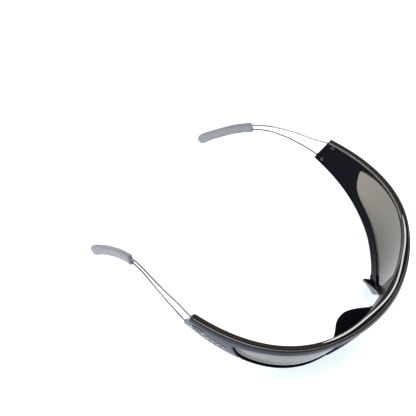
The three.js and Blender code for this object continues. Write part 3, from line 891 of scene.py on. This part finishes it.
# Middle line of the left arm, as in the CAD, before the bridge is put in its place.
ARM_LINE = [
    (71.1, 74.6, 30.8),
    (69.6, 83.0, 31.7),
    (67.9, 92.0, 32.8),
    (65.8, 100.5, 33.3),
    (63.4, 108.8, 32.9),
    (61.0, 117.0, 30.6),
    (59.0, 125.2, 26.2),
    (57.4, 133.0, 20.3),
    (56.1, 140.4, 13.6),
    (55.2, 147.3, 6.8),
    (54.7, 152.1, 0.5),
]


class SmoothCurve:
    """Centripetal Catmull-Rom curve through points, read by fraction of its length."""

    def __init__(self, points, steps=60):
        p = np.asarray(points, float)
        p = np.vstack([2 * p[0] - p[1], p, 2 * p[-1] - p[-2]])
        line = []
        for a, b, c, d in zip(p, p[1:], p[2:], p[3:]):
            spans = [np.linalg.norm(leg) ** 0.5 for leg in (b - a, c - b, d - c)]
            knots = np.concatenate([[0], np.cumsum(spans)])
            t = np.linspace(knots[1], knots[2], steps, endpoint=False)[:, None]
            line.append(self.blend(t, knots, (a, b, c, d)))
        self.line = np.vstack(line + [p[-2:-1]])
        self.reach = lengths_along(self.line)

    @staticmethod
    def blend(t, k, points):
        """Neville's scheme over the four knots."""
        level = list(points)
        for span in (1, 2):
            level = [
                ((k[i + span] - t) * level[i] + (t - k[i]) * level[i + 1]) / (k[i + span] - k[i])
                for i in range(len(level) - 1)
            ]
        return ((k[2] - t) * level[0] + (t - k[1]) * level[1]) / (k[2] - k[1])

    def at(self, u):
        where = np.clip(u, 0, 1) * self.reach[-1]
        return np.stack([np.interp(where, self.reach, self.line[:, k]) for k in range(3)], axis=-1)

    def along(self, u, step=0.004):
        return unit(self.at(min(1, u + step)) - self.at(max(0, u - step)))


arm_line = SmoothCurve(np.array(ARM_LINE) + np.array([0, BRIDGE_Y, 0]))


def arm_frame(u):
    """Point, tangent, sideways and upward directions at a fraction of the left arm."""
    tangent = arm_line.along(u)
    across = unit(np.cross(tangent, [0, 0, 1]))
    return arm_line.at(u), tangent, across, np.cross(across, tangent)


def wire_exit(z):
    return wrap(RAIL_END, WIRE_W, z)


def leg_point(u, above):
    point, _, _, up = arm_frame(u)
    opening = (UPPER_WIRE_Z - LOWER_WIRE_Z) / 2
    gap = LEG_GAP + (opening - LEG_GAP) * max(0, 1 - u / LEGS_MEET) ** LEGS_CLOSE_POWER
    return point + up * above * gap


def hairpin_points():
    """From inside the upper socket, round the bend behind the ear, back into the lower one."""
    upper, lower = wire_exit(UPPER_WIRE_Z), wire_exit(LOWER_WIRE_Z)
    fractions = np.linspace(LEGS_START, BEND_AT, LEG_POINTS)
    points = [upper + WIRE_INTO_SHELL, upper + WIRE_LEAD]
    points += [leg_point(u, 1) for u in fractions]
    point, tangent, _, up = arm_frame(BEND_AT)
    for angle in BEND_ANGLES:
        turn = math.radians(angle)
        points.append(point + LEG_GAP * (up * math.cos(turn) + tangent * math.sin(turn)))
    points += [leg_point(u, -1) for u in fractions[::-1]]
    points += [lower + WIRE_LEAD, lower + WIRE_INTO_SHELL]
    return points


def sweep_round(curve, radius, stations, sides):
    """A round tube along a curve, with a frame carried along so that it never twists."""
    rings = []
    angles = around(sides)
    side = np.array([1.0, 0, 0])
    for u in np.linspace(0, 1, stations):
        tangent = curve.along(u, SWEEP_STEP)
        side = unit(side - tangent * np.dot(side, tangent))
        other = np.cross(tangent, side)
        round_it = np.outer(np.cos(angles), side) + np.outer(np.sin(angles), other)
        rings.append(curve.at(u) + radius * round_it)
    return rings


def make_wire(name, side):
    """A round wire along the hairpin, its root in its sockets."""
    line = SmoothCurve(hairpin_points())
    verts, faces = loft(sweep_round(line, WIRE_RADIUS, WIRE_STATIONS, WIRE_SIDES))
    upper, lower = wire_exit(UPPER_WIRE_Z), wire_exit(LOWER_WIRE_Z)
    hinge_line = unit(lower - upper)
    _, tangent, _, _ = arm_frame(0.0)
    away = tangent - hinge_line * (tangent @ hinge_line)
    start = (upper + lower) / 2 + away * SOCKET_MOUTH
    end = start + away * WIRE_BENDS_OVER
    verts, start, end = (on_side(points, side) for points in (verts, start, end))
    arm = f"{name}_arm"
    piece = make_piece(f"{name}_wire", verts, faces, None, f"{arm}_wire", "wire")
    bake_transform(piece)
    return piece


CAPSULE_STEPS = 12


def capsule(half_height, half_width):
    """Upright capsule outline of (across, up) points."""
    flat = half_height - half_width
    angles = np.linspace(0, math.pi, CAPSULE_STEPS)
    top = [(half_width * math.cos(a), flat + half_width * math.sin(a)) for a in angles]
    return np.array(top + [(-x, -y) for x, y in top])


SLEEVE_RIBS = 9
RIBS_FROM = 0.66
RIBS_TO = 0.9
RIB_DEPTH = 0.06
# Shares of the sleeve's section, and of the arm's length.
TIP_SCALE = 0.35
MOUTH_SCALE = 0.8
MOUTH_OPENS = 0.012
COLLAR = 0.08
COLLAR_AT = 0.014
COLLAR_WIDTH = 0.01
SLEEVE_STATIONS = np.concatenate([np.linspace(SLEEVE_FROM, 0.94, 150), np.linspace(0.943, 0.9995, 24)])
WIRE_ROOM = 0.05


def sleeve_scale(u):
    """Round tip, a small collar at the mouth and shallow grip ribs."""
    end = clamp01((1 - u) / SLEEVE_ROUND)
    scale = TIP_SCALE + (1 - TIP_SCALE) * math.sqrt(1 - (1 - end) ** 2)
    rib = clamp01((u - RIBS_FROM) / (RIBS_TO - RIBS_FROM))
    ribs = RIB_DEPTH * math.sin(math.pi * SLEEVE_RIBS * rib) ** 2 if 0 < rib < 1 else 0
    mouth = clamp01((u - SLEEVE_FROM) / MOUTH_OPENS)
    opened = MOUTH_SCALE + (1 - MOUTH_SCALE) * math.sqrt(1 - (1 - mouth) ** 2)
    collar = COLLAR * math.exp(-(((u - SLEEVE_FROM - COLLAR_AT) / COLLAR_WIDTH) ** 2))
    return scale * (1 - ribs) * opened + collar


def make_sleeve(name, side):
    room = WIRE_RADIUS + WIRE_ROOM
    section = capsule(LEG_GAP + room + SLEEVE_WALL, room + SLEEVE_WALL)
    rings = []
    for u in SLEEVE_STATIONS:
        point, _, across, up = arm_frame(u)
        scaled = section * sleeve_scale(u)
        ring = point + np.outer(-scaled[:, 0], across) + np.outer(scaled[:, 1], up)
        ring[:, 2] = np.maximum(ring[:, 2], LEAST_HEIGHT)
        rings.append(ring)
    verts, faces = loft(rings)
    verts = on_side(verts, side)
    return make_piece(f"{name}_sleeve", verts, faces, f"{name}_arm", f"{name}_tip_sleeve", "sleeve")


# ---------------- turned fittings

ROUND = 28


def turned(profile, shape=None, shaped_from=0):
    """Closed surface of (radius, height) rows round +Y, from the bottom pole to the top pole.

    shape(angle) stretches the radius of the rows from shaped_from on.
    """
    angles = around(ROUND)
    rings = []
    for row, (radius, height) in enumerate(profile):
        stretch = [shape(a) if shape and row >= shaped_from else 1.0 for a in angles]
        radii = radius * np.array(stretch)
        level = np.full(ROUND, height)
        rings.append(np.stack([radii * np.cos(angles), level, radii * np.sin(angles)], axis=-1))
    return loft(rings)


def turned_to(verts, direction, place):
    """Turns a piece made round +Y to another direction and moves it there."""
    turn = np.array(Vector((0, 1, 0)).rotation_difference(Vector(direction)).to_matrix())
    return verts @ turn.T + np.asarray(place)


SOCKET_RADIUS = 0.7
SOCKET_LENGTH = 7.0
SOCKET_MOUTH = 0.5
# (radius, height) along the ferrule, from its buried end to its mouth.
SOCKET_PROFILE = [
    (0.3, SOCKET_MOUTH - SOCKET_LENGTH),
    (SOCKET_RADIUS, SOCKET_MOUTH - SOCKET_LENGTH + 0.2),
    (SOCKET_RADIUS, -0.9),
    (SOCKET_RADIUS + 0.22, -0.1),
    (SOCKET_RADIUS + 0.26, 0.05),
    (SOCKET_RADIUS + 0.2, 0.2),
    (SOCKET_RADIUS + 0.02, 0.26),
    (SOCKET_RADIUS - 0.02, 0.45),
    (SOCKET_RADIUS - 0.08, SOCKET_MOUTH),
    (WIRE_RADIUS + 0.02, SOCKET_MOUTH + 0.03),
    (WIRE_RADIUS, SOCKET_MOUTH - 0.15),
]
SOCKET_SMOOTH = 50


def make_socket(name, side, level, z):
    """Ferrule round the wire: a barrel with two beads and a rounded mouth."""
    verts, faces = turned(SOCKET_PROFILE)
    verts = on_side(verts + wire_exit(z), side)
    node = f"{name}_{level}_wire_socket"
    return make_piece(f"{name}_{level}_ferrule", verts, faces, "front", node, "wire", SOCKET_SMOOTH)


SCREW_SETBACK = 4.4
SCREW_HEAD_RADIUS = 1.3
SCREW_HEAD_HEIGHT = 0.6
SCREW_SHANK = (0.45, 0.6)
SCREW_SEAT = (0.97 * SCREW_HEAD_RADIUS, 0.02)
SCREW_RECESS = 0.6
RECESS_DEPTH = 0.25
RECESS_MIDDLE = 0.04
RECESS_RIM = 1.25  # the dome stops at this many recess radii
RECESS_EDGE = 0.04
RECESS_MOUTH = 1.08 * SCREW_RECESS
DOME_STEPS = 10
SCREW_SMOOTH = 35


def hexagon(angle):
    """Distance to a hexagon's side, 1 at the middle of each flat."""
    third = math.pi / 3
    return 1 / math.cos((angle % third) - third / 2)


def make_screw(name, side, level, z):
    """Domed head with a hexagon recess, standing on the liner's inner face."""
    dome = []
    for angle in quarter(DOME_STEPS):
        radius = SCREW_HEAD_RADIUS * math.cos(angle)
        if radius > SCREW_RECESS * RECESS_RIM:
            dome.append((radius, -SCREW_HEAD_HEIGHT * math.sin(angle)))
    edge = dome[-1][1] - RECESS_EDGE
    foot = [SCREW_SHANK, SCREW_SEAT]
    recess = [
        (RECESS_MOUTH, edge),
        (SCREW_RECESS, edge + RECESS_EDGE),
        (SCREW_RECESS, -RECESS_DEPTH),
        (RECESS_MIDDLE, -RECESS_DEPTH),
    ]
    verts, faces = turned(foot + dome + recess, hexagon, len(foot + dome))
    slope = LEAN_SLOPE + 2 * LEAN_CURVE * (TOP - z)
    place = wire_exit(z) - np.array([WIRE_W, SCREW_SETBACK, 0])
    verts = on_side(turned_to(verts, (1, 0, -slope), place), side)
    node = f"{name}_{level}_screw"
    return make_piece(f"{name}_{level}_screw_head", verts, faces, "front", node, "fastener", SCREW_SMOOTH)


# ---------------- ornaments

BADGE_PLACE = (108.0, 30.2)
BADGE_SIZE = (3.9, 2.4)
BADGE_RING = 0.8
STUD_COUNT = 4
STUD_PLACE = (101.5, 27.2)
STUD_PITCH = (2.8, 1.25)
STUD_SIZE = (0.9, 1.5)
ORNAMENT_SUNK = 0.3
# (distance in from the outline, height) round the ring's section.
RING_SECTION = [
    (0, -ORNAMENT_SUNK),
    (0, 0.15),
    (0.1, 0.36),
    (0.28, 0.48),
    (0.52, 0.48),
    (0.7, 0.36),
    (BADGE_RING, 0.12),
    (BADGE_RING, -ORNAMENT_SUNK),
]
INLAY_GAP = 0.04
# (share of the outline, height) from the buried edge to the raised middle.
INLAY_STEPS = [(1, -ORNAMENT_SUNK), (1, 0.05), (0.93, 0.14), (0.75, 0.24), (0.5, 0.31), (0.2, 0.34)]
STUD_STEPS = [(1, -ORNAMENT_SUNK), (1, 0.22), (0.9, 0.34), (0.45, 0.5), (0.1, 0.52)]
STUD_SMOOTH = 15
OVAL_POINTS = 64


def on_temple(side, place, offsets, heights):
    """Frame points for flat offsets (a, b) round a place on the temple, standing proud by heights."""
    s, z = place[0] + offsets[:, 0], place[1] + offsets[:, 1]
    return wrap(side * s, shell_face(s, z) + heights, z)


def oval(half_a, half_b):
    angles = around(OVAL_POINTS)
    return np.stack([half_a * np.cos(angles), half_b * np.sin(angles)], axis=-1)


def make_badge(name, side):
    """An oval ring with a rounded section, and a domed inlay inside it."""
    a, b = BADGE_SIZE
    rings = []
    for inward, height in RING_SECTION:
        rings.append(on_temple(side, BADGE_PLACE, oval(a - inward, b - inward), height))
    verts = np.concatenate(rings)
    faces = ring_faces(len(rings), OVAL_POINTS, closed_rows=True)
    ring = make_piece(f"{name}_badge_bezel", verts, faces, "front", f"{name}_badge_ring", "bright_trim")
    inner = oval(a - BADGE_RING - INLAY_GAP, b - BADGE_RING - INLAY_GAP)
    rings = [on_temple(side, BADGE_PLACE, inner * part, height) for part, height in INLAY_STEPS]
    verts, faces = loft(rings)
    inlay = make_piece(f"{name}_badge_enamel", verts, faces, "front", f"{name}_badge_inlay", "inlay")
    return ring, inlay


def lozenge(half, tall, per_side=4):
    corners = np.array([(half, 0), (0, tall), (-half, 0), (0, -tall)], float)
    points = []
    for corner, following in zip(corners, np.roll(corners, -1, axis=0)):
        points += [corner + (following - corner) * i / per_side for i in range(per_side)]
    return np.array(points)


def make_stud(name, side, number):
    """A faceted lozenge: upright sides, a bevel and a raised middle."""
    place = (STUD_PLACE[0] - number * STUD_PITCH[0], STUD_PLACE[1] - number * STUD_PITCH[1])
    outline = lozenge(*STUD_SIZE)
    rings = [on_temple(side, place, outline * part, height) for part, height in STUD_STEPS]
    verts, faces = loft(rings)
    label = f"{name}_stud_cut_{number + 1}"
    node = f"{name}_stud_{number + 1}"
    return make_piece(label, verts, faces, "front", node, "bright_trim", STUD_SMOOTH)


# ---------------- materials


NOISE_LOW = 0.3
NOISE_HIGH = 0.7
GRAIN = 900.0  # features a metre
SMUDGES_COARSER = 12
SMUDGE_DETAIL = 6.0
BUMP_GRAIN = 2
BUMP_DEPTH = 0.00003


def new_material(name):
    material = bpy.data.materials.new(name)
    material.use_nodes = True
    nodes, links = material.node_tree.nodes, material.node_tree.links
    return material, nodes, links, nodes["Principled BSDF"]


def noise(nodes, links, scale, detail=4.0):
    """A noise texture in object space, of scale features a metre."""
    coordinates = nodes.new("ShaderNodeTexCoord")
    texture = nodes.new("ShaderNodeTexNoise")
    texture.inputs["Scale"].default_value = scale
    texture.inputs["Detail"].default_value = detail
    links.new(coordinates.outputs["Object"], texture.inputs["Vector"])
    return texture.outputs["Fac"]


def ramp(nodes, links, value, stops):
    """A colour ramp of (position, colour) stops."""
    node = nodes.new("ShaderNodeValToRGB")
    elements = node.color_ramp.elements
    while len(elements) < len(stops):
        elements.new(0.5)
    for element, (position, colour) in zip(elements, stops):
        element.position = position
        element.color = (*colour, 1)
    links.new(value, node.inputs["Fac"])
    return node.outputs["Color"]


def spread(nodes, links, value, low, high):
    """Maps the usual range of a noise to a range of numbers."""
    node = nodes.new("ShaderNodeMapRange")
    node.inputs["From Min"].default_value = NOISE_LOW
    node.inputs["From Max"].default_value = NOISE_HIGH
    node.inputs["To Min"].default_value = low
    node.inputs["To Max"].default_value = high
    links.new(value, node.inputs["Value"])
    return node.outputs["Result"]


def surface(name, colours, roughness, grain=GRAIN, bump=0.0, **sockets):
    """A material with mottled colour and roughness, and an optional fine bump."""
    material, nodes, links, shader = new_material(name)
    mottle = noise(nodes, links, grain)
    colour = ramp(nodes, links, mottle, [(NOISE_LOW, colours[0]), (NOISE_HIGH, colours[1])])
    links.new(colour, shader.inputs["Base Color"])
    smudge = noise(nodes, links, grain / SMUDGES_COARSER, detail=SMUDGE_DETAIL)
    links.new(spread(nodes, links, smudge, *roughness), shader.inputs["Roughness"])
    if bump:
        texture = nodes.new("ShaderNodeBump")
        texture.inputs["Strength"].default_value = bump
        texture.inputs["Distance"].default_value = BUMP_DEPTH
        links.new(noise(nodes, links, grain * BUMP_GRAIN), texture.inputs["Height"])
        links.new(texture.outputs["Normal"], shader.inputs["Normal"])
    for socket, value in sockets.items():
        shader.inputs[socket.replace("_", " ")].default_value = value
    return material


LENS_IOR = 1.32
LENS_TINTS = [
    (0.14, (0.062, 0.056, 0.046)),
    (0.40, (0.120, 0.108, 0.088)),
    (0.80, (0.20, 0.178, 0.145)),
]
LENS_SMUDGES = 60
LENS_ROUGHNESS = (0.0, 0.012)


def lens_material():
    """Polished tinted sheet, lighter towards the temples."""
    material, nodes, links, shader = new_material("tinted_lens")
    attribute = nodes.new("ShaderNodeAttribute")
    attribute.attribute_name = "reach"
    links.new(ramp(nodes, links, attribute.outputs["Fac"], LENS_TINTS), shader.inputs["Base Color"])
    smudge = noise(nodes, links, LENS_SMUDGES, detail=SMUDGE_DETAIL)
    links.new(spread(nodes, links, smudge, *LENS_ROUGHNESS), shader.inputs["Roughness"])
    shader.inputs["IOR"].default_value = LENS_IOR
    shader.inputs["Transmission Weight"].default_value = 1.0
    return material


MATERIALS = {
    "shell": surface("shell_lacquer", ((0.020, 0.0145, 0.012), (0.030, 0.022, 0.018)), (0.07, 0.12),
                     grain=1600.0, Specular_IOR_Level=0.22),
    "liner": surface("liner_moulded", ((0.0035, 0.0040, 0.0070), (0.0060, 0.0068, 0.0110)), (0.24, 0.34),
                     grain=2200.0, bump=0.25, Specular_IOR_Level=0.03),
    "wing": surface("wing_moulded", ((0.0050, 0.0055, 0.0075), (0.0080, 0.0088, 0.0120)), (0.16, 0.20),
                    grain=2000.0, bump=0.05, Specular_IOR_Level=0.14, Specular_Tint=(0.80, 0.90, 1.0, 1)),
    "wire": surface("drawn_wire", ((0.24, 0.25, 0.26), (0.31, 0.32, 0.33)), (0.26, 0.36),
                    grain=300.0, Metallic=1.0),
    "fastener": surface("fastener", ((0.045, 0.048, 0.052), (0.08, 0.085, 0.09)), (0.25, 0.35),
                        grain=900.0, Metallic=1.0),
    "bright_trim": surface("bright_trim", ((0.26, 0.265, 0.275), (0.36, 0.365, 0.375)), (0.06, 0.14),
                           grain=1400.0, Metallic=1.0),
    "inlay": surface("enamel", ((0.004, 0.004, 0.005), (0.008, 0.008, 0.009)), (0.4, 0.5), grain=1200.0,
                     Specular_IOR_Level=0.05),
    "sleeve": surface("silicone", ((0.30, 0.31, 0.33), (0.38, 0.39, 0.41)), (0.32, 0.45),
                      grain=1300.0, bump=0.3, Transmission_Weight=0.25),
    "lens": lens_material(),
}


# A bright trim let into the brow; its near-white colour is also a painted highlight, standing in for the
# light caught along the ridge.
LINE_FINISH = surface("line_trim_painted_highlight", ((0.90, 0.91, 0.93), (0.97, 0.97, 0.98)), (0.18, 0.30),
                      grain=1400.0, Metallic=0.45)
# Finishes of single parts of the shell, after its lacquer; all but the inside paint light, shade or
# reflection into the colour, as each says.
SHELL_FINISHES = [
    # near-black painted shade for the seam groove and the hollow beside the bright line
    surface("shell_groove_painted_shade", ((0.003, 0.0025, 0.0025), (0.006, 0.005, 0.005)), (0.4, 0.6),
            Specular_IOR_Level=0.1),
    # lighter brown: a painted highlight along the crest edge and the inner lip
    surface("shell_edge_painted_highlight", ((0.10, 0.09, 0.085), (0.20, 0.18, 0.17)), (0.2, 0.35),
            grain=700.0),
    surface("shell_inside", ((0.028, 0.025, 0.016), (0.036, 0.032, 0.021)), (0.6, 0.8),
            Specular_IOR_Level=0.05),
    # blue-grey painted reflection: the glancing reflection of pale, bluish surroundings put into the outer
    # face's colour, with its gloss turned low
    surface("shell_face", ((0.030, 0.038, 0.056), (0.038, 0.048, 0.070)), (0.14, 0.22), grain=1600.0,
            Specular_IOR_Level=0.05, Specular_Tint=(0.80, 0.90, 1.0, 1)),
    # lighter blue-grey: painted reflection, lightened further as painted light on rim walls that stand in
    # shade
    surface("shell_rim_painted_light", ((0.10, 0.12, 0.16), (0.13, 0.15, 0.20)), (0.2, 0.3), grain=1600.0,
            Specular_IOR_Level=0.05),
]


def paint(piece):
    is_line = piece.name == "brow_line"
    piece.data.materials.append(LINE_FINISH if is_line else MATERIALS[piece["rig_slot"]])
    if piece["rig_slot"] == "shell":
        for finish in SHELL_FINISHES:
            piece.data.materials.append(finish)


# ---------------- assembly


def build_glasses():
    pieces = [make_shell(), make_liner(), make_brow_line()]
    for name, side in (("left", 1), ("right", -1)):
        pieces += [make_lens(name, side), make_wing(name, side)]
        pieces += [make_wire(name, side), make_sleeve(name, side)]
        for level, z in (("upper", UPPER_WIRE_Z), ("lower", LOWER_WIRE_Z)):
            pieces += [make_socket(name, side, level, z), make_screw(name, side, level, z)]
        pieces += make_badge(name, side)
        pieces += [make_stud(name, side, i) for i in range(STUD_COUNT)]
    for piece in pieces:
        paint(piece)


# ---------------- stage

FLOOR_HALF = 12.0
FLOOR_COLOUR = (0.93, 0.93, 0.94, 1)
FLOOR_ROUGHNESS = 0.8
FLOOR_SPECULAR = 0.1
# The floor gives off a little light, which keeps the shadows faint.
FLOOR_GLOW = (0.82, 0.90, 1.0, 1)
FLOOR_GLOW_STRENGTH = 0.8


def make_floor():
    corners = [(-1, -1), (1, -1), (1, 1), (-1, 1)]
    mesh = bpy.data.meshes.new("floor")
    mesh.from_pydata([(x * FLOOR_HALF, y * FLOOR_HALF, 0) for x, y in corners], [], [range(4)])
    floor = bpy.data.objects.new("floor", mesh)
    bpy.context.scene.collection.objects.link(floor)
    material, _, _, shader = new_material("pale_floor")
    shader.inputs["Base Color"].default_value = FLOOR_COLOUR
    shader.inputs["Emission Color"].default_value = FLOOR_GLOW
    shader.inputs["Emission Strength"].default_value = FLOOR_GLOW_STRENGTH
    shader.inputs["Roughness"].default_value = FLOOR_ROUGHNESS
    shader.inputs["Specular IOR Level"].default_value = FLOOR_SPECULAR
    mesh.materials.append(material)


LAMP_PLACE = Vector((0.0, 0.1, 1.2))
LAMP_SIZE = (0.5, 0.4)
LAMP_POWER = 9
WORLD_COLOUR = (0.93, 0.96, 1.0, 1)
WORLD_STRENGTH = 0.45


def make_lamp():
    """A soft rectangle overhead, aimed at the origin."""
    light = bpy.data.lights.new("overhead", "AREA")
    light.shape = "RECTANGLE"
    light.size, light.size_y = LAMP_SIZE
    light.energy = LAMP_POWER
    lamp = bpy.data.objects.new("overhead", light)
    lamp.location = LAMP_PLACE
    lamp.rotation_euler = (-LAMP_PLACE).to_track_quat("-Z", "Y").to_euler()
    bpy.context.scene.collection.objects.link(lamp)


def make_world():
    world = bpy.data.worlds.new("studio")
    world.use_nodes = True
    background = world.node_tree.nodes["Background"]
    background.inputs["Color"].default_value = WORLD_COLOUR
    background.inputs["Strength"].default_value = WORLD_STRENGTH
    bpy.context.scene.world = world


CAMERA_PLACE = Vector((-0.2006, -0.0740, 0.3222))
CAMERA_TARGET = Vector((0.0118, 0.0423, 0.0))
CAMERA_UP = Vector((0.6397, 0.4845, 0.5967))
CAMERA_LENS = 56.25
CAMERA_SENSOR = 36
CAMERA_NEAR = 0.01


def make_camera():
    data = bpy.data.cameras.new("camera")
    data.lens = CAMERA_LENS
    data.sensor_width = CAMERA_SENSOR
    camera = bpy.data.objects.new("camera", data)
    back = (CAMERA_PLACE - CAMERA_TARGET).normalized()
    right = CAMERA_UP.cross(back).normalized()
    turn = Matrix((right, back.cross(right), back)).transposed()
    camera.matrix_world = Matrix.Translation(CAMERA_PLACE) @ turn.to_4x4()
    data.clip_start = CAMERA_NEAR
    bpy.context.scene.collection.objects.link(camera)
    bpy.context.scene.camera = camera


build_glasses()
make_floor()
make_world()
make_lamp()
make_camera()
bpy.context.scene.view_settings.view_transform = "Standard"
